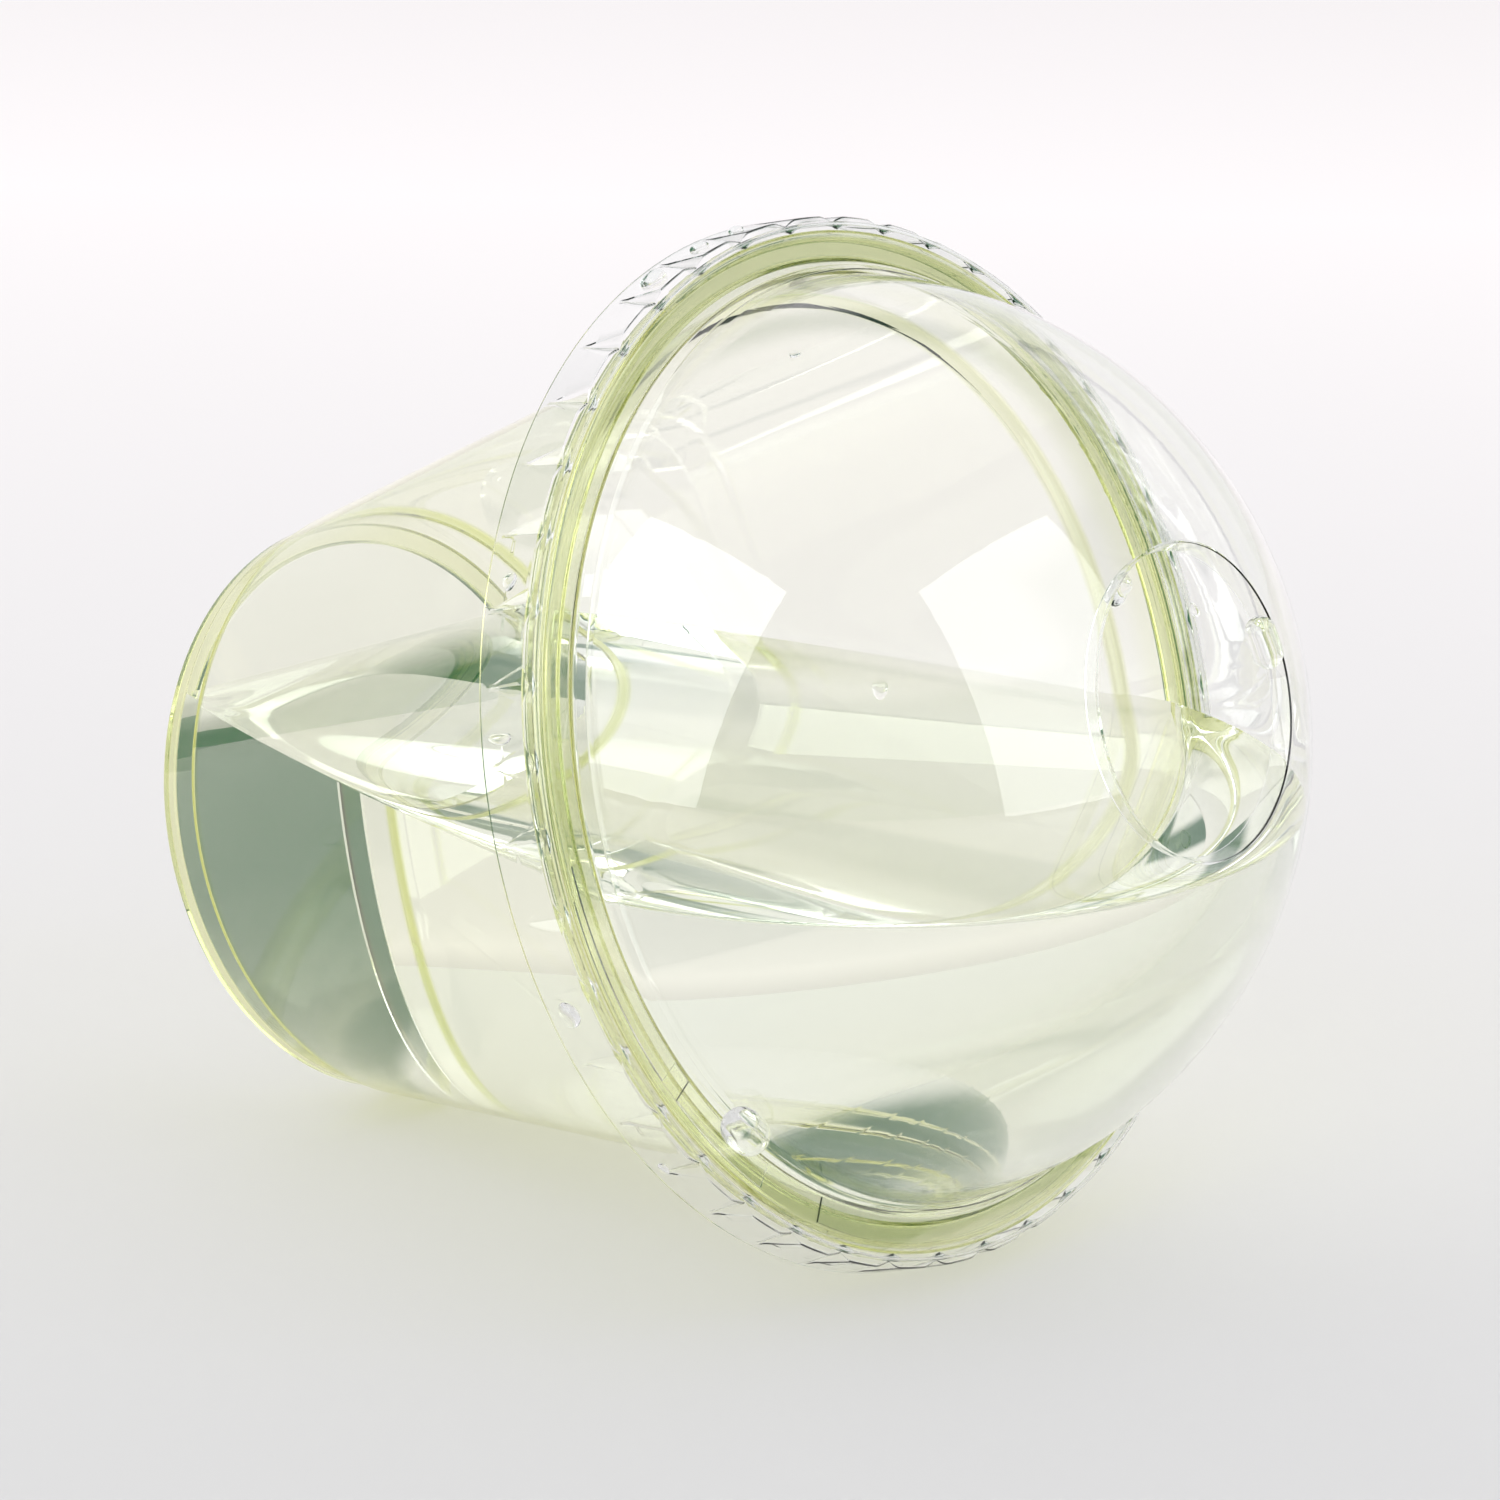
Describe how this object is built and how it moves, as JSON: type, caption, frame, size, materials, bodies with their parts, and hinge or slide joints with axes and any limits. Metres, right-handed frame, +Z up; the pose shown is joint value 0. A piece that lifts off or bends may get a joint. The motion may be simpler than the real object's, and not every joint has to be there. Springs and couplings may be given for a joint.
{
  "type": "wasp trap",
  "caption": "Wasp trap of a clear tapered cup lying on its side, a domed press-on lid with a round entrance hole in its top, and pooled bait liquid.",
  "frame": {"origin": "on the floor, under the middle of the trap's bounding box, with the trap lying on its side", "axes": "+X towards the dome, in the upright plane of the trap's own axis, which rises 17.3 degrees towards +X; +Z up; the trap is symmetric about the XZ plane but for its liquid and lugs"},
  "size_m": [0.1122, 0.0982, 0.0949],
  "materials": {
    "cup_plastic": "clear with a faint yellow-green tint, glossy",
    "lid_plastic": "clear and colourless, glossy",
    "liquid": "clear liquid, very faint yellow-green, mirror smooth"
  },
  "bodies": {
    "cup": {"cup": "cup_plastic", "bait_liquid": "liquid", "rim_liquid_near": "liquid", "rim_liquid_low": "liquid", "rim_liquid_far": "liquid"},
    "lid": {"dome_lid": "lid_plastic", "hole_drop_upper": "liquid", "hole_drop_side": "liquid", "rim_drop": "liquid"}
  },
  "joints": [
    {"name": "lid_pull_off", "type": "slide", "parent": "cup", "child": "lid", "axis": [0.9547, 0, 0.2975], "range_m": [0, 0.045]}
  ]
}
